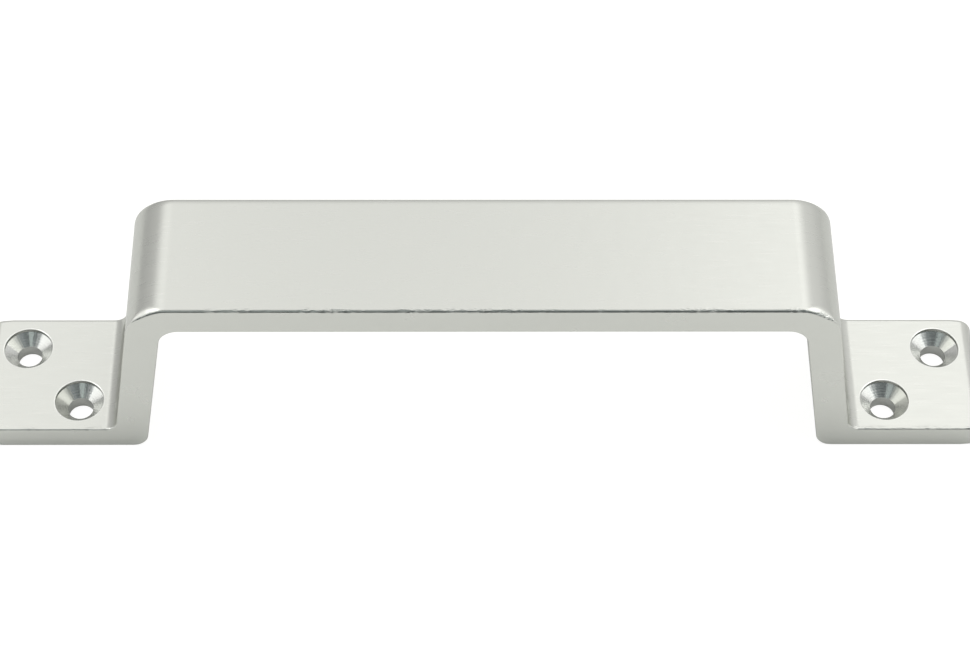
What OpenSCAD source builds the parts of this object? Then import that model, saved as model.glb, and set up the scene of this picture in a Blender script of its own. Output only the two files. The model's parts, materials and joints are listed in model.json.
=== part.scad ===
// Strip handle: one bar with a raised grip, two splayed legs and two feet.
// Each foot carries two staggered holes for countersunk screws.
// Sizes are in millimetres and angles in degrees. Z is up from the mounting plane,
// X runs along the grip, and the origin lies midway between the feet on that plane.

/* [Bar] */
// Width of the strip between its two cut faces
strip_width = 25.4; // [18:0.2:60]
// Overall length from one foot tip to the other
handle_length = 185; // [120:1:400]
// Height of the top of the grip above the mounting plane
handle_height = 40.5; // [25:0.5:90]
// Thickness of the grip
grip_thickness = 6; // [3:0.25:10]
// Thickness of each leg, square to its faces
leg_thickness = 6; // [3:0.25:10]
// Outward lean of each leg from upright
leg_splay = 8.6; // [0:0.2:20]

/* [Bends] */
// Outer radius where the grip turns into a leg
shoulder_r = 7.7; // [1.5:0.1:12]
// Inner radius under that bend
armpit_r = 3.8; // [1:0.1:8]
// Fillet between a leg and the top of its foot
instep_r = 2.5; // [1:0.1:2.8]
// Rounding where the underside of a foot turns up into the leg
heel_r = 3.1; // [1.5:0.1:8]
// Rounding of the foot tip, above and below
tip_r = 2.3; // [1:0.1:2.4]
// Rounding left by deburring along both cut faces
edge_r = 0.6; // [0.2:0.05:0.9]

/* [Feet] */
// Thickness of each foot
foot_thickness = 5; // [3.5:0.25:9]
// Length of each foot from the leg's outer face to the tip
foot_length = 25.3; // [18:0.1:50]

/* [Screw holes] */
// Diameter of the plain screw hole
screw_hole_d = 4.7; // [3:0.1:7]
// Diameter of the countersink at the top of the foot
countersink_d = 9; // [6:0.1:9.5]
// Full angle of the countersink cone
countersink_angle = 100; // [75:1:120]
// Depth of the straight wall above the cone
mouth_depth = 0.8; // [0.1:0.1:2]
// Distance from the foot tip to the outer hole
tip_inset = 7.6; // [7:0.1:10]
// Distance from the leg's outer face to the inner hole
ankle_inset = 7.2; // [6.8:0.1:10]
// Distance from the nearer cut face to each hole
side_inset = 6.7; // [5.5:0.1:9]

/* [Hidden] */
$fn = 96;
satin_silver = "#C9CAC6";
// Amount by which an arc passes its flats, so that the two meet at a clear crossing
seam = 0.001;
// Angle by which an edge cutter around an inside bend runs on past its flats
arc_run_on = 4;
// Reach of a cutter beyond the surface that it cuts
over = 0.4;
// Most of the foot's thickness that one rounding of its tip may take
tip_share = 0.46;
half_length = handle_length / 2;
ankle_x = half_length - foot_length;
shoulder_x = ankle_x - (handle_height - foot_thickness) * tan(leg_splay);
leg_run = leg_thickness / cos(leg_splay);
armpit_x = shoulder_x + grip_thickness * tan(leg_splay) - leg_run;
heel_x = shoulder_x + handle_height * tan(leg_splay) - leg_run;
underside = handle_height - grip_thickness;
tip_radius = min(tip_r, tip_share * foot_thickness);
cone_depth = (countersink_d - screw_hole_d) / 2 / tan(countersink_angle / 2);
hole_y = strip_width / 2 - side_inset;
right_side = [
    [armpit_x, underside, armpit_r],
    [heel_x, 0, heel_r],
    [half_length, 0, tip_radius],
    [half_length, foot_thickness, tip_radius],
    [ankle_x, foot_thickness, instep_r],
    [shoulder_x, handle_height, shoulder_r]
];
left_side = [for (i = [len(right_side) - 1:-1:0]) [-right_side[i].x, right_side[i].y, right_side[i].z]];
// Corners of the side view, anticlockwise, each with its radius
outline = concat(right_side, left_side);
corners = len(outline);

function corner(i) = [outline[(i + corners) % corners].x, outline[(i + corners) % corners].y];
function radius(i) = outline[(i + corners) % corners].z;
function along(v) = v / norm(v);
function heading(v) = atan2(v.y, v.x);
function before(i) = along(corner(i - 1) - corner(i));
function after(i) = along(corner(i + 1) - corner(i));
function half_angle(i) = acos(before(i) * after(i)) / 2;
function is_convex(i) = cross(before(i), after(i)) < 0;
function setback(i) = (radius(i) - seam) / tan(half_angle(i));
function arc_start(i) = corner(i) + before(i) * setback(i);
function arc_end(i) = corner(i) + after(i) * setback(i);
function arc_centre(i) = corner(i) + along(before(i) + after(i)) * (radius(i) - seam) / sin(half_angle(i));
function arc_sweep(i) = 180 - 2 * half_angle(i);
function arc_heading(i) = heading((is_convex(i) ? arc_start(i) : arc_end(i)) - arc_centre(i));

// Waste outside the arc of a convex corner, reaching past the flats
module corner_waste(i) {
    outward = -along(before(i) + after(i)) * over / sin(half_angle(i));
    difference() {
        polygon([
            arc_centre(i),
            arc_start(i),
            arc_start(i) + outward,
            corner(i) + outward,
            arc_end(i) + outward,
            arc_end(i)
        ]);
        translate(arc_centre(i)) circle(r = radius(i));
    }
}

// Side view of the bar, a filled corner at each inside bend being cut back to its arc
module side_view() {
    difference() {
        polygon([for (i = [0:corners - 1]) each is_convex(i) ? [corner(i)] : [arc_start(i), arc_end(i)]]);
        for (i = [0:corners - 1]) {
            if (is_convex(i)) corner_waste(i);
            else translate(arc_centre(i)) circle(r = radius(i));
        }
    }
}

// Section of an edge cutter, its first axis pointing out of the bar where outward is 1
module edge_section(surface, outward) {
    inset = edge_r - seam;
    difference() {
        polygon([
            [surface - outward * inset, over],
            [surface + outward * over, over],
            [surface + outward * over, -inset],
            [surface - outward * inset, -inset]
        ]);
        translate([surface - outward * inset, -inset]) circle(r = edge_r);
    }
}

// Edge cutter along the flat between two corners
module flat_edge(i) {
    start = arc_end(i) - (is_convex(i) ? after(i) * over : [0, 0]);
    end = arc_start(i + 1) + (is_convex(i + 1) ? after(i) * over : [0, 0]);
    translate(start)
        rotate([90, 0, heading(after(i)) + 90])
            linear_extrude(height = norm(end - start))
                edge_section(0, -1);
}

// Edge cutter around the arc of a corner
module arc_edge(i) {
    run_on = is_convex(i) ? 0 : arc_run_on;
    translate(arc_centre(i))
        rotate(arc_heading(i) - run_on)
            rotate_extrude(angle = arc_sweep(i) + 2 * run_on)
                edge_section(radius(i), is_convex(i) ? 1 : -1);
}

module cut_face_edges() {
    translate([0, 0, strip_width / 2])
        for (i = [0:corners - 1]) {
            flat_edge(i);
            arc_edge(i);
        }
}

module bar() {
    rotate([90, 0, 0])
        difference() {
            linear_extrude(height = strip_width, center = true) side_view();
            cut_face_edges();
            mirror([0, 0, 1]) cut_face_edges();
        }
}

// Screw hole from below the foot up through its countersink
module screw_hole() {
    translate([0, 0, -over]) cylinder(d = screw_hole_d, h = foot_thickness + 2 * over);
    translate([0, 0, foot_thickness - mouth_depth - cone_depth])
        cylinder(d1 = screw_hole_d, d2 = countersink_d, h = cone_depth);
    translate([0, 0, foot_thickness - mouth_depth])
        cylinder(d = countersink_d, h = mouth_depth + over);
}

module foot_holes() {
    translate([half_length - tip_inset, hole_y, 0]) screw_hole();
    translate([ankle_x + ankle_inset, -hole_y, 0]) screw_hole();
}

module strip_handle() {
    color(satin_silver)
        difference() {
            bar();
            foot_holes();
            mirror([1, 0, 0]) foot_holes();
        }
}

strip_handle();
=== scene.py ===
import json
import math

import bmesh
import bpy
from mathutils import Matrix, Vector


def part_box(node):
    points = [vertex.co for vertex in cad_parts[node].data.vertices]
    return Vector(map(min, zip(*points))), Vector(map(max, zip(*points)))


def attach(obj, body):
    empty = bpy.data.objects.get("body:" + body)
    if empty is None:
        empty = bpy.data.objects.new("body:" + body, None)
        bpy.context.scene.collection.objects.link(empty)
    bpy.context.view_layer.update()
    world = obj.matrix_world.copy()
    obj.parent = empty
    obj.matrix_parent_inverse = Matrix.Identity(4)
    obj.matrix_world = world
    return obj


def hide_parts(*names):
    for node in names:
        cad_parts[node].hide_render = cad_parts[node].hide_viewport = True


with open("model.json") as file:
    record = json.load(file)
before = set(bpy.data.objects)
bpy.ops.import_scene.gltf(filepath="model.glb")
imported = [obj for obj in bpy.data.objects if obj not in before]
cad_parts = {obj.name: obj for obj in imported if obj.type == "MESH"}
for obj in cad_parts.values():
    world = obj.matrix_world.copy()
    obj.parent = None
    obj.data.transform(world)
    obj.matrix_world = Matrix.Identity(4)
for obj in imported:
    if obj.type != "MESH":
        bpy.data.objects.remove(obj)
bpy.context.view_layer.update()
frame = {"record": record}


# The bar: one aluminium extrusion with the whole side view as its section, sawn across into
# strips. Each strip is tumbled, which rounds its sawn edges, most of all at the shoulders and
# the tips of the feet, and is then etched and clear anodised to a satin silver.
mm = 0.001
half_length, half_width, grip_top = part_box("strip_handle")[1]
grip_thickness = 6.0 * mm
leg_thickness = 6.0 * mm
leg_splay = math.radians(8.6)
foot_thickness = 5.0 * mm
foot_length = 25.3 * mm
shoulder_radius = 7.7 * mm
armpit_radius = 3.8 * mm
instep_radius = 2.5 * mm
heel_radius = 3.1 * mm
tip_radius = 2.3 * mm

# Roundings of the sawn edges: how far each reaches over the top, and drops down the sawn face.
front_edge = (0.3 * mm, 0.3 * mm)
back_edge = (0.55 * mm, 0.22 * mm)
grip_front_edge = (0.9 * mm, 0.64 * mm)
grip_back_edge = (1.5 * mm, 0.26 * mm)
shoulder_edge = (1.9 * mm, 0.85 * mm)
tip_edge = (1.2 * mm, 1.4 * mm)
# Turns of the shoulder's bend between which its edge widens, and then fades down the leg.
widens_from, widens_to = math.radians(4), math.radians(25)
fades_from, fades_to = math.radians(34), math.radians(58)
# Where the tip's rounding starts, ahead of its bend, and the length over which it grows.
tip_roll_before = 1.8 * mm
tip_roll_length = 5.0 * mm
# The even bevel from which all these roundings are drawn.
bevel_width = 0.22 * mm
bevel_steps = 10

grip_under = grip_top - grip_thickness
ankle_x = half_length - foot_length
shoulder_x = ankle_x - (grip_top - foot_thickness) * math.tan(leg_splay)
leg_run = leg_thickness / math.cos(leg_splay)
armpit_x = shoulder_x + grip_thickness * math.tan(leg_splay) - leg_run
heel_x = shoulder_x + grip_top * math.tan(leg_splay) - leg_run
shoulder_pair = ((shoulder_x, grip_top), (armpit_x, grip_under))
ankle_pair = ((ankle_x, foot_thickness), (heel_x, 0.0))
tip_pair = ((half_length, foot_thickness), (half_length, 0.0))
# Two places this close count as one.
near = 0.01 * mm
# Faces that turn by less than this count as one flat.
flat_angle = math.radians(1)


def pick(kind, test):
    """Selects the vertices, edges or faces whose middle the test accepts, and nothing else."""
    mesh = bmesh.from_edit_mesh(bpy.context.object.data)
    bpy.ops.mesh.select_mode(type=kind)
    bpy.ops.mesh.select_all(action="DESELECT")
    if kind == "VERT":
        for vertex in mesh.verts:
            vertex.select_set(test(vertex.co))
    elif kind == "EDGE":
        for edge in mesh.edges:
            edge.select_set(test((edge.verts[0].co + edge.verts[1].co) / 2))
    else:
        for face in mesh.faces:
            face.select_set(test(face.calc_center_median()))
    mesh.select_flush_mode()
    bmesh.update_edit_mesh(bpy.context.object.data)


def take_corner(start, end):
    """Moves the one corner that is at start, given as X and Z, to end."""
    pick("VERT", lambda co: math.hypot(co.x - start[0], co.z - start[1]) < near)
    bpy.ops.transform.translate(value=(end[0] - start[0], 0, end[1] - start[1]))


def draw_on(start, end):
    """Extrudes the edge at the section's open end from one pair of corners to the next."""
    (outer, inner), (next_outer, next_inner) = start, end
    middle = ((outer[0] + inner[0]) / 2, (outer[1] + inner[1]) / 2)
    pick("EDGE", lambda co: math.hypot(co.x - middle[0], co.z - middle[1]) < near)
    step = (next_outer[0] - outer[0], next_outer[1] - outer[1])
    bpy.ops.mesh.extrude_edges_move(TRANSFORM_OT_translate={"value": (step[0], 0, step[1])})
    take_corner((inner[0] + step[0], inner[1] + step[1]), next_inner)


# Half of the section, drawn from the middle of the grip to the tip, and mirrored.
bpy.ops.object.select_all(action="DESELECT")
bpy.ops.mesh.primitive_plane_add(size=grip_thickness)
handle = bpy.context.object
handle.name = "bar_handle"
bpy.ops.object.mode_set(mode="EDIT")
bpy.ops.transform.rotate(value=math.pi / 2, orient_axis="X", center_override=(0, 0, 0))
bpy.ops.transform.translate(value=(grip_thickness / 2, -half_width, grip_top - grip_thickness / 2))
take_corner((grip_thickness, grip_top), shoulder_pair[0])
take_corner((grip_thickness, grip_under), shoulder_pair[1])
draw_on(shoulder_pair, ankle_pair)
draw_on(ankle_pair, tip_pair)
bpy.ops.object.mode_set(mode="OBJECT")
bpy.ops.object.modifier_add(type="MIRROR")
bpy.ops.object.modifier_apply(modifier=handle.modifiers[-1].name)
bpy.ops.object.mode_set(mode="EDIT")
bpy.ops.mesh.select_all(action="SELECT")
bpy.ops.mesh.normals_make_consistent(inside=False)
bpy.ops.mesh.dissolve_limited(angle_limit=flat_angle)


def round_profile(angle):
    """The bevel profile that makes a true arc of a corner of that angle."""
    return (1 - 1 / (2 * (1 + math.sin(angle / 2)))) ** 2


# The corners of the section: place, radius, angle between the sides, and steps of the arc.
right_angle = math.pi / 2
obtuse = right_angle + leg_splay
rounded_corners = [
    (shoulder_pair[0], shoulder_radius, obtuse, 28),
    (shoulder_pair[1], armpit_radius, obtuse, 20),
    (ankle_pair[0], instep_radius, obtuse, 18),
    (ankle_pair[1], heel_radius, obtuse, 18),
    (tip_pair[0], tip_radius, right_angle, 16),
    (tip_pair[1], tip_radius, right_angle, 16),
]
for corner, radius, angle, steps in rounded_corners:
    pick("VERT", lambda co: math.hypot(abs(co.x) - corner[0], co.z - corner[1]) < near)
    bpy.ops.mesh.bevel(
        affect="VERTICES", offset_type="ABSOLUTE", offset=radius / math.tan(angle / 2),
        segments=steps, profile=round_profile(angle), clamp_overlap=False,
    )

# A point on each flat where the tip's rounding starts, then the extrusion and its sawn edges.
tip_middle = half_length - tip_radius
for side in (-1, 1):
    bpy.ops.mesh.select_all(action="SELECT")
    bpy.ops.mesh.bisect(plane_co=(side * (tip_middle - tip_roll_before), 0, 0), plane_no=(1, 0, 0))
    bpy.ops.mesh.dissolve_edges(use_verts=False)
bpy.ops.mesh.select_all(action="SELECT")
bpy.ops.mesh.extrude_region_move(TRANSFORM_OT_translate={"value": (0, 2 * half_width, 0)})
bpy.ops.mesh.select_all(action="SELECT")
bpy.ops.mesh.normals_make_consistent(inside=False)
pick("EDGE", lambda co: abs(abs(co.y) - half_width) < near)
bpy.ops.mesh.bevel(
    affect="EDGES", offset_type="OFFSET", offset=bevel_width, segments=bevel_steps, profile=0.5,
    clamp_overlap=False,
)


def ramp(value, start, end):
    """Goes smoothly from 0, where the value is at start, to 1, where it is at end."""
    share = min(max((value - start) / (end - start), 0), 1)
    return share * share * (3 - 2 * share)


def between(one, other, share):
    """The rounding that lies that share of the way from one rounding to the other."""
    return [a + (b - a) * share for a, b in zip(one, other)]


def plain_wear(side):
    """The rounding of an edge that is only tumbled, on the front or the back."""
    return front_edge if side < 0 else back_edge


def shoulder_wear(travel, side):
    """The rounding along the grip's top and round its bends, where it is rolled over."""
    turn = travel / shoulder_radius
    if side < 0:
        rolled = between(grip_front_edge, shoulder_edge, ramp(turn, widens_from, widens_to))
    else:
        rolled = grip_back_edge
    return between(rolled, plain_wear(side), ramp(turn, fades_from, fades_to))


def tip_wear(travel, side):
    """The rounding at the foot's tip, where the tumbler reaches the edge from all sides."""
    grown = ramp(travel, -tip_roll_before, tip_roll_length - tip_roll_before)
    return between(plain_wear(side), tip_edge, grown)


# Arcs of the outline with a rounding of their own: middle, up or down, radius, and rounding.
# Each vertex of the even bevel is then drawn out from the sharp edge to the rounding there.
shoulder_middle = shoulder_x - shoulder_radius / math.tan(obtuse / 2)
worn_arcs = [
    (shoulder_middle, grip_top - shoulder_radius, 1, shoulder_radius, shoulder_wear),
    (tip_middle, foot_thickness - tip_radius, 1, tip_radius, tip_wear),
    (tip_middle, tip_radius, -1, tip_radius, tip_wear),
]
mesh = bmesh.from_edit_mesh(handle.data)
for vertex in mesh.verts:
    if half_width - abs(vertex.co.y) > bevel_width + near:
        continue
    sharp_edge = Vector((vertex.co.x, math.copysign(half_width, vertex.co.y), vertex.co.z))
    reach, drop = plain_wear(vertex.co.y)
    for middle_x, middle_z, upward, radius, wear in worn_arcs:
        run = abs(vertex.co.x) - middle_x
        rise = (vertex.co.z - middle_z) * upward
        if rise > -near and radius - bevel_width - near < math.hypot(max(run, 0), rise) < radius + near:
            turn = math.atan2(max(run, 0), rise)
            sharp_edge = Vector((
                math.copysign(min(abs(vertex.co.x), middle_x) + radius * math.sin(turn), vertex.co.x),
                math.copysign(half_width, vertex.co.y),
                middle_z + upward * radius * math.cos(turn),
            ))
            reach, drop = wear(radius * turn + min(run, 0), vertex.co.y)
            break
    inward = vertex.co - sharp_edge
    vertex.co = sharp_edge + Vector((inward.x * drop, inward.y * reach, inward.z * drop)) / bevel_width
bmesh.update_edit_mesh(handle.data)
bpy.ops.object.mode_set(mode="OBJECT")


def linear(colour):
    """The linear colour for an sRGB hex value."""
    parts = [int(colour[i:i + 2], 16) / 255 for i in (1, 3, 5)]
    return [p / 12.92 if p <= 0.04045 else ((p + 0.055) / 1.055) ** 2.4 for p in parts] + [1.0]


def add_node(tree, kind, settings, inputs):
    """Adds a node with its settings; an input is given a value, or a socket to link from."""
    node = tree.nodes.new(kind)
    for name, value in settings.items():
        setattr(node, name, value)
    for name, value in inputs.items():
        if isinstance(value, bpy.types.NodeSocket):
            tree.links.new(value, node.inputs[name])
        else:
            node.inputs[name].default_value = value
    return node


# Satin anodised aluminium: a pale grey metal with a soft reflection, from the etch. Faint waves
# from the die bend its highlights, hair scratches run along the grip, and the front edges carry
# small nicks. The etch's own grain is too fine to show, so the scratches are drawn coarser.
satin_colour = "#CCCDC7"
satin_roughness = (0.27, 0.33)
wave_size = 4.0 * mm
wave_height = 0.02 * mm
scratch_width = 0.25 * mm
scratch_length = 6.0 * mm
scratch_height = 0.004 * mm
nick_size = 0.35 * mm
nick_length = 0.9 * mm
nick_height = 0.15 * mm
nick_patch = 7.0 * mm
# Values of the patch noise between which nicks set in.
patch_from, patch_to = 0.44, 0.56
# Distances from the front sawn face between which nicks set in.
nicks_from, nicks_to = 1.08 * mm, 0.54 * mm
# How squarely a surface faces the front where it counts as the sawn face, and as its edge.
sawn_facing, edge_facing = -0.99, -0.9
# Values between which most of a noise lies.
noise_low, noise_high = 0.3, 0.7

satin = bpy.data.materials.new("satin_anodised_aluminium")
satin.use_nodes = True
tree = satin.node_tree
coordinates = add_node(tree, "ShaderNodeTexCoord", {}, {})
place = coordinates.outputs["Object"]
axes = add_node(tree, "ShaderNodeSeparateXYZ", {}, {0: place})
waves = add_node(tree, "ShaderNodeTexNoise", {}, {
    "Vector": place, "Scale": 1 / wave_size, "Detail": 1.0,
})
wave_bump = add_node(tree, "ShaderNodeBump", {}, {
    "Height": waves.outputs["Fac"], "Distance": wave_height,
})
along_grip = add_node(tree, "ShaderNodeMapping", {"vector_type": "POINT"}, {
    "Vector": place, "Scale": (1 / scratch_length, 1 / scratch_width, 1 / scratch_length),
})
scratches = add_node(tree, "ShaderNodeTexNoise", {}, {
    "Vector": along_grip.outputs[0], "Scale": 1.0, "Detail": 2.0,
})
scratch_bump = add_node(tree, "ShaderNodeBump", {}, {
    "Height": scratches.outputs["Fac"], "Distance": scratch_height, "Normal": wave_bump.outputs[0],
})
scratch_roughness = add_node(tree, "ShaderNodeMapRange", {}, {
    "Value": scratches.outputs["Fac"], "From Min": noise_low, "From Max": noise_high,
    "To Min": satin_roughness[0], "To Max": satin_roughness[1],
})
near_front = add_node(tree, "ShaderNodeMapRange", {}, {
    "Value": axes.outputs["Y"], "From Min": nicks_from - half_width, "From Max": nicks_to - half_width,
})
normal_axes = add_node(tree, "ShaderNodeSeparateXYZ", {}, {0: coordinates.outputs["Normal"]})
off_sawn_face = add_node(tree, "ShaderNodeMapRange", {}, {
    "Value": normal_axes.outputs["Y"], "From Min": sawn_facing, "From Max": edge_facing,
})
at_edge = add_node(tree, "ShaderNodeMath", {"operation": "MULTIPLY"}, {
    0: near_front.outputs[0], 1: off_sawn_face.outputs[0],
})
patches = add_node(tree, "ShaderNodeTexNoise", {}, {
    "Vector": place, "Scale": 1 / nick_patch, "Detail": 2.0,
})
in_patch = add_node(tree, "ShaderNodeMapRange", {}, {
    "Value": patches.outputs["Fac"], "From Min": patch_from, "From Max": patch_to,
})
nick_mask = add_node(tree, "ShaderNodeMath", {"operation": "MULTIPLY"}, {
    0: at_edge.outputs[0], 1: in_patch.outputs[0],
})
along_edge = add_node(tree, "ShaderNodeMapping", {"vector_type": "POINT"}, {
    "Vector": place, "Scale": (1 / nick_length, 1 / nick_size, 1 / nick_size),
})
nicks = add_node(tree, "ShaderNodeTexNoise", {}, {
    "Vector": along_edge.outputs[0], "Scale": 1.0, "Detail": 2.0,
})
nick_relief = add_node(tree, "ShaderNodeMath", {"operation": "SUBTRACT"}, {
    0: nicks.outputs["Fac"], 1: 0.5,
})
nick_depth = add_node(tree, "ShaderNodeMath", {"operation": "MULTIPLY"}, {
    0: nick_relief.outputs[0], 1: nick_mask.outputs[0],
})
nick_bump = add_node(tree, "ShaderNodeBump", {}, {
    "Height": nick_depth.outputs[0], "Distance": nick_height, "Normal": scratch_bump.outputs[0],
})
shader = tree.nodes["Principled BSDF"]
shader.inputs["Base Color"].default_value = linear(satin_colour)
shader.inputs["Metallic"].default_value = 1.0
tree.links.new(scratch_roughness.outputs[0], shader.inputs["Roughness"])
tree.links.new(nick_bump.outputs[0], shader.inputs["Normal"])
handle.data.materials.append(satin)


# The screw holes: two in each foot, drilled and countersunk after anodising, so their walls are
# bare bright metal. The countersink turned fine rings into the cone, and the rim is stroked with
# a file, which leaves a hair of bare metal around it.
mounts = {mount["name"]: mount for mount in frame["record"]["mounts"]}


def hole_place(mount):
    """X and Y of the right foot's hole in that mount, whose two holes mirror each other."""
    return mount["dims"]["spacing_x_mm"] / 2 * mm, mount["pos_m"][1]


outer_hole = hole_place(mounts["back_screw_holes"])
inner_hole = hole_place(mounts["front_screw_holes"])
screw_hole_radius = mounts["back_screw_holes"]["dims"]["hole_r_mm"] * mm
countersink_radius = 4.5 * mm
countersink_slope = math.radians(50)
mouth_depth = 0.8 * mm
lip_width = 0.2 * mm
lip_depth = 0.09 * mm
# Height on the wall above which it counts as the filed lip, which is painted lighter as a highlight.
lip_from = foot_thickness - 1.1 * lip_depth
turned_rings = 9
ring_depth = 0.006 * mm
hole_sides = 128
below_foot = 1.0 * mm
cone_depth = (countersink_radius - screw_hole_radius) / math.tan(countersink_slope)
cone_start = foot_thickness - mouth_depth - cone_depth


def lathe_on(radius, next_radius, rise):
    """Extrudes the cutter's top face upwards and brings it to its next radius."""
    bpy.ops.mesh.extrude_region_move(TRANSFORM_OT_translate={"value": (0, 0, rise)})
    share = next_radius / radius
    middle = bpy.context.object.location
    bpy.ops.transform.resize(value=(share, share, 1), center_override=(middle.x, middle.y, 0))


# One cutter, lathed from the bore up through the ringed cone and the mouth past the lip, and
# copied to the other three holes.
bore_length = cone_start + below_foot
bpy.ops.object.select_all(action="DESELECT")
bpy.ops.mesh.primitive_cylinder_add(
    vertices=hole_sides, radius=screw_hole_radius, depth=bore_length,
    location=(outer_hole[0], outer_hole[1], cone_start - bore_length / 2),
)
cutter = bpy.context.object
bpy.ops.object.mode_set(mode="EDIT")
cutter_top = bore_length / 2
pick("FACE", lambda co: co.z > cutter_top - near)
radius = screw_hole_radius
ring_rise = cone_depth / (2 * turned_rings)
ring_step = ring_rise * math.tan(countersink_slope)
for ring in range(2 * turned_rings):
    groove = ring_depth if ring % 2 == 0 else 0.0
    next_radius = screw_hole_radius + ring_step * (ring + 1) + groove
    lathe_on(radius, next_radius, ring_rise)
    radius = next_radius
lathe_on(radius, countersink_radius, mouth_depth - lip_depth)
lathe_on(countersink_radius, countersink_radius + 2 * lip_width, 2 * lip_depth)
bpy.ops.object.mode_set(mode="OBJECT")
outer_to_inner = (inner_hole[0] - outer_hole[0], inner_hole[1] - outer_hole[1], 0)
bpy.ops.object.duplicate_move(TRANSFORM_OT_translate={"value": outer_to_inner})
cutter.select_set(True)
bpy.ops.object.join()
cutters = bpy.context.object
bpy.ops.object.transform_apply(location=True, rotation=True, scale=True)
bpy.ops.object.modifier_add(type="MIRROR")
bpy.ops.object.modifier_apply(modifier=cutters.modifiers[-1].name)

# Bare machined aluminium: glossier than the anodised skin, and turned, so that its reflections
# run in streaks from the rim to the bore, broken by chatter and faint rings. The filed hair at
# the rim is painted lighter than the cone, a painted highlight for the bright ring it reflects.
# Real turning marks are finer, and are drawn this coarse to show.
cone_colour = "#D6D7D3"
# The lip's lighter colour is a painted highlight.
lip_highlight_colour = "#DFE0DB"
turned_roughness = (0.19, 0.25)
turned_stretch = 0.9
ring_pitch = 0.22 * mm
ring_height = 0.008 * mm
chatter_marks = 26
chatter_height = 0.04 * mm
grain_size = 0.35 * mm
grain_height = 0.012 * mm

machined = bpy.data.materials.new("machined_aluminium")
machined.use_nodes = True
tree = machined.node_tree
coordinates = add_node(tree, "ShaderNodeTexCoord", {}, {})
axes = add_node(tree, "ShaderNodeSeparateXYZ", {}, {0: coordinates.outputs["Object"]})
# Where a point lies from the axis of its own hole, as on the right foot.
outward = add_node(tree, "ShaderNodeMath", {"operation": "ABSOLUTE"}, {0: axes.outputs["X"]})
is_outer = add_node(tree, "ShaderNodeMath", {"operation": "GREATER_THAN"}, {
    0: axes.outputs["Y"], 1: 0.0,
})
hole_x = add_node(tree, "ShaderNodeMapRange", {}, {
    "Value": is_outer.outputs[0], "To Min": inner_hole[0], "To Max": outer_hole[0],
})
hole_y = add_node(tree, "ShaderNodeMapRange", {}, {
    "Value": is_outer.outputs[0], "To Min": inner_hole[1], "To Max": outer_hole[1],
})
from_axis_x = add_node(tree, "ShaderNodeMath", {"operation": "SUBTRACT"}, {
    0: outward.outputs[0], 1: hole_x.outputs[0],
})
from_axis_y = add_node(tree, "ShaderNodeMath", {"operation": "SUBTRACT"}, {
    0: axes.outputs["Y"], 1: hole_y.outputs[0],
})
from_axis = add_node(tree, "ShaderNodeCombineXYZ", {}, {
    "X": from_axis_x.outputs[0], "Y": from_axis_y.outputs[0],
})
distance_out = add_node(tree, "ShaderNodeVectorMath", {"operation": "LENGTH"}, {
    0: from_axis.outputs[0],
})
direction_out = add_node(tree, "ShaderNodeVectorMath", {"operation": "NORMALIZE"}, {
    0: from_axis.outputs[0],
})
# The way up the cone's slope, along which the turned metal smears its reflections.
foot_side = add_node(tree, "ShaderNodeMath", {"operation": "SIGN"}, {0: axes.outputs["X"]})
slope_x = add_node(tree, "ShaderNodeMath", {"operation": "MULTIPLY"}, {
    0: from_axis_x.outputs[0], 1: foot_side.outputs[0],
})
slope = add_node(tree, "ShaderNodeCombineXYZ", {}, {
    "X": slope_x.outputs[0], "Y": from_axis_y.outputs[0],
    "Z": screw_hole_radius / math.tan(countersink_slope),
})
chatter = add_node(tree, "ShaderNodeTexNoise", {}, {
    "Vector": direction_out.outputs[0], "Scale": chatter_marks / (2 * math.pi), "Detail": 2.0,
})
chatter_bump = add_node(tree, "ShaderNodeBump", {}, {
    "Height": chatter.outputs["Fac"], "Distance": chatter_height,
})
rings = add_node(tree, "ShaderNodeTexNoise", {"noise_dimensions": "1D"}, {
    "W": distance_out.outputs["Value"], "Scale": 1 / ring_pitch, "Detail": 1.0,
})
ring_bump = add_node(tree, "ShaderNodeBump", {}, {
    "Height": rings.outputs["Fac"], "Distance": ring_height, "Normal": chatter_bump.outputs[0],
})
ring_roughness = add_node(tree, "ShaderNodeMapRange", {}, {
    "Value": rings.outputs["Fac"], "From Min": noise_low, "From Max": noise_high,
    "To Min": turned_roughness[0], "To Max": turned_roughness[1],
})
grain = add_node(tree, "ShaderNodeTexNoise", {}, {
    "Vector": coordinates.outputs["Object"], "Scale": 1 / grain_size, "Detail": 1.0,
})
grain_bump = add_node(tree, "ShaderNodeBump", {}, {
    "Height": grain.outputs["Fac"], "Distance": grain_height, "Normal": ring_bump.outputs[0],
})
# Painted highlight: the filed lip is given a lighter colour than the cone, for the bright ring it
# reflects.
lip_highlight_mask = add_node(tree, "ShaderNodeMath", {"operation": "GREATER_THAN"}, {
    0: axes.outputs["Z"], 1: lip_from,
})
metal_and_lip_highlight = add_node(tree, "ShaderNodeMixRGB", {}, {
    "Fac": lip_highlight_mask.outputs[0], "Color1": linear(cone_colour), "Color2": linear(lip_highlight_colour),
})
shader = tree.nodes["Principled BSDF"]
shader.inputs["Metallic"].default_value = 1.0
shader.inputs["Anisotropic"].default_value = turned_stretch
tree.links.new(metal_and_lip_highlight.outputs[0], shader.inputs["Base Color"])
tree.links.new(ring_roughness.outputs[0], shader.inputs["Roughness"])
tree.links.new(slope.outputs[0], shader.inputs["Tangent"])
tree.links.new(grain_bump.outputs[0], shader.inputs["Normal"])
cutters.data.materials.append(machined)

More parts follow.
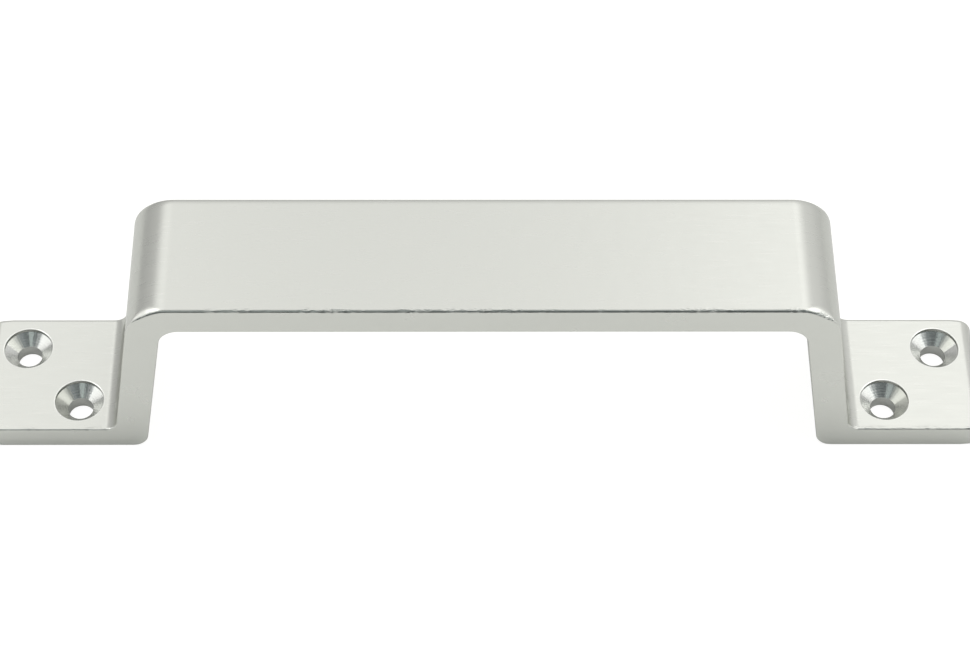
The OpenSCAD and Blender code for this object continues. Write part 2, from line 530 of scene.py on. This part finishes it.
# The four holes are cut, and their walls keep the cutters' bare metal.
sharp_angle = math.radians(30)
bpy.ops.object.select_all(action="DESELECT")
handle.select_set(True)
bpy.context.view_layer.objects.active = handle
bpy.ops.object.modifier_add(type="BOOLEAN")
drilling = handle.modifiers[-1]
drilling.operation = "DIFFERENCE"
drilling.solver = "EXACT"
drilling.material_mode = "TRANSFER"
drilling.object = cutters
bpy.ops.object.modifier_apply(modifier=drilling.name)
bpy.data.objects.remove(cutters)
bpy.ops.object.shade_smooth_by_angle(angle=sharp_angle)
bpy.ops.object.modifier_add(type="WEIGHTED_NORMAL")
flat_faces = handle.modifiers[-1]
flat_faces.keep_sharp = True
bpy.ops.object.modifier_apply(modifier=flat_faces.name)
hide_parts("strip_handle")
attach(handle, "root")


# The table: a plain pale painted top on which the handle stands. The camera sees it white, with
# the handle's faint shadow. The metal mirrors it as a lit white table with a painted glow added,
# brighter towards the front, and with painted shade close to the handle.
table_size = 6.0
table_gap = 0.05 * mm
table_colour = "#D5D5D3"
shadow_colour = "#76766F"
white = "#FFFFFF"
seen_glow = 0.93
# Strengths of the painted glow that only the metal sees, at the front and at the back.
front_glow, back_glow = 0.345, 0.17
glow_reach = 2 * half_width
shade_reach = 0.8 * half_width

bpy.ops.object.select_all(action="DESELECT")
bpy.ops.mesh.primitive_plane_add(size=table_size, location=(0, 0, -table_gap))
floor = bpy.context.object
floor.name = "floor"
bpy.ops.object.transform_apply(location=True, rotation=True, scale=True)
white_paint = bpy.data.materials.new("white_table_paint")
white_paint.use_nodes = True
tree = white_paint.node_tree
tree.nodes.remove(tree.nodes["Principled BSDF"])
path = add_node(tree, "ShaderNodeLightPath", {}, {})
coordinates = add_node(tree, "ShaderNodeTexCoord", {}, {})
axes = add_node(tree, "ShaderNodeSeparateXYZ", {}, {0: coordinates.outputs["Object"]})
# Painted glow, seen only in the metal's reflections, brighter towards the front.
open_glow = add_node(tree, "ShaderNodeMapRange", {"interpolation_type": "SMOOTHSTEP"}, {
    "Value": axes.outputs["Y"], "From Min": -glow_reach, "From Max": glow_reach,
    "To Min": front_glow, "To Max": back_glow,
})
# Painted shade: the glow darkens close to the handle.
painted_shade_openness = add_node(tree, "ShaderNodeAmbientOcclusion", {"samples": 8}, {"Distance": shade_reach})
glow_with_painted_shade = add_node(tree, "ShaderNodeMath", {"operation": "MULTIPLY"}, {
    0: open_glow.outputs[0], 1: painted_shade_openness.outputs["AO"],
})
painted_glow_for_metal = add_node(tree, "ShaderNodeMath", {"operation": "MULTIPLY"}, {
    0: path.outputs["Is Glossy Ray"], 1: glow_with_painted_shade.outputs[0],
})
table_paint = add_node(tree, "ShaderNodeBsdfDiffuse", {}, {"Color": linear(table_colour)})
table_glow = add_node(tree, "ShaderNodeEmission", {}, {
    "Color": linear(white), "Strength": painted_glow_for_metal.outputs[0],
})
mirrored_table = add_node(tree, "ShaderNodeAddShader", {}, {
    0: table_paint.outputs[0], 1: table_glow.outputs[0],
})
shadow_paint = add_node(tree, "ShaderNodeBsdfDiffuse", {}, {"Color": linear(shadow_colour)})
camera_glow = add_node(tree, "ShaderNodeEmission", {}, {"Color": linear(white), "Strength": seen_glow})
seen_table = add_node(tree, "ShaderNodeAddShader", {}, {
    0: shadow_paint.outputs[0], 1: camera_glow.outputs[0],
})
table = add_node(tree, "ShaderNodeMixShader", {}, {
    0: path.outputs["Is Camera Ray"], 1: mirrored_table.outputs[0], 2: seen_table.outputs[0],
})
tree.links.new(table.outputs[0], tree.nodes["Material Output"].inputs["Surface"])
floor.data.materials.append(white_paint)


# The studio: diffuser panels on stands, a wide one overhead with a brighter one to each side of
# it, a low and a high one past each end of the handle, and a small cool one in front. Sizes and
# places are in metres.
def softbox(name, place, size, radiance, turn=0.0):
    """A soft light of that size that faces down, or turns about Y, as bright as its radiance."""
    bpy.ops.object.light_add(type="AREA", location=place, rotation=(0, turn, 0))
    lamp = bpy.context.object
    lamp.name = name
    lamp.data.shape = "RECTANGLE"
    lamp.data.size, lamp.data.size_y = size
    lamp.data.energy = radiance * math.pi * size[0] * size[1]
    return lamp


low_turn = math.radians(72)
high_turn = math.radians(48)
cool_white = "#EDFAF7"
softbox("softbox_overhead", (-0.06, 0.29, 0.6), size=(0.97, 0.86), radiance=0.37)
softbox("softbox_left", (-0.28, 0.36, 0.59), size=(0.26, 0.8), radiance=0.34)
softbox("softbox_right", (0.2, 0.36, 0.59), size=(0.18, 0.8), radiance=0.45)
softbox("low_light_left", (-0.58, -0.07, 0.2), size=(0.32, 0.44), radiance=0.78, turn=-low_turn)
softbox("low_light_right", (0.58, -0.11, 0.2), size=(0.32, 0.42), radiance=0.55, turn=low_turn)
softbox("high_light_left", (-0.433, -0.02, 0.451), size=(0.28, 0.38), radiance=1.5, turn=-high_turn)
softbox("high_light_right", (0.433, -0.02, 0.451), size=(0.28, 0.38), radiance=1.5, turn=high_turn)
front_light = softbox("strip_light_front", (-0.22, -0.62, 0.55), size=(0.27, 0.3), radiance=0.95)
front_light.data.color = linear(cool_white)[:3]

# The room: pale walls, the right one brighter, dimmer at their skirting, and a dark cool front
# behind the camera. Places are parts of a direction of length one, from -1 to 1.
left_wall, right_wall = 0.64, 0.91
wall_from, wall_to = -0.6, 0.6
room_dark, room_bright = 0.09, 1.0
room_front, room_back = -0.75, -0.1
skirting_dark, skirting_bright = 0.85, 1.0
skirting_from, skirting_to = 0.15, 0.4
dark_tint = "#E6FAFF"

world = bpy.data.worlds.new("studio")
bpy.context.scene.world = world
world.use_nodes = True
tree = world.node_tree
path = add_node(tree, "ShaderNodeLightPath", {}, {})
coordinates = add_node(tree, "ShaderNodeTexCoord", {}, {})
axes = add_node(tree, "ShaderNodeSeparateXYZ", {}, {0: coordinates.outputs["Generated"]})
walls = add_node(tree, "ShaderNodeMapRange", {"interpolation_type": "SMOOTHSTEP"}, {
    "Value": axes.outputs["X"], "From Min": wall_from, "From Max": wall_to,
    "To Min": left_wall, "To Max": right_wall,
})
depth = add_node(tree, "ShaderNodeMapRange", {}, {
    "Value": axes.outputs["Y"], "From Min": room_front, "From Max": room_back,
    "To Min": room_dark, "To Max": room_bright,
})
skirting = add_node(tree, "ShaderNodeMapRange", {"interpolation_type": "SMOOTHSTEP"}, {
    "Value": axes.outputs["Z"], "From Min": skirting_from, "From Max": skirting_to,
    "To Min": skirting_dark, "To Max": skirting_bright,
})
tint = add_node(tree, "ShaderNodeMixRGB", {}, {
    "Fac": depth.outputs[0], "Color1": linear(dark_tint), "Color2": linear(white),
})
lit_walls = add_node(tree, "ShaderNodeMath", {"operation": "MULTIPLY"}, {
    0: walls.outputs[0], 1: depth.outputs[0],
})
level = add_node(tree, "ShaderNodeMath", {"operation": "MULTIPLY"}, {
    0: lit_walls.outputs[0], 1: skirting.outputs[0],
})
room = add_node(tree, "ShaderNodeBackground", {}, {
    "Color": tint.outputs[0], "Strength": level.outputs[0],
})
paper = add_node(tree, "ShaderNodeBackground", {}, {"Color": linear(white), "Strength": 1.0})
studio = add_node(tree, "ShaderNodeMixShader", {}, {
    0: path.outputs["Is Camera Ray"], 1: room.outputs[0], 2: paper.outputs[0],
})
tree.links.new(studio.outputs[0], tree.nodes["World Output"].inputs["Surface"])


# The camera: in front of the handle and well above it, with a long lens, so close that the tip
# of the left foot runs out of the picture and that of the right foot just reaches its edge.
aim = Vector((0.403, 0.0, 20.409)) * mm
distance = 509.315 * mm
elevation = math.radians(52.646)
azimuth = math.radians(-0.879)
roll = math.radians(0.6665)
bpy.ops.object.camera_add()
camera = bpy.context.object
camera.data.sensor_width = 36.0
camera.data.lens = 103.993
camera.data.clip_start = 0.01
facing = (
    Matrix.Rotation(azimuth, 4, "Z")
    @ Matrix.Rotation(math.pi / 2 - elevation, 4, "X")
    @ Matrix.Rotation(roll, 4, "Z")
)
camera.matrix_world = Matrix.Translation(aim) @ facing @ Matrix.Translation((0, 0, distance))
bpy.context.scene.camera = camera
bpy.context.scene.view_settings.view_transform = "Standard"
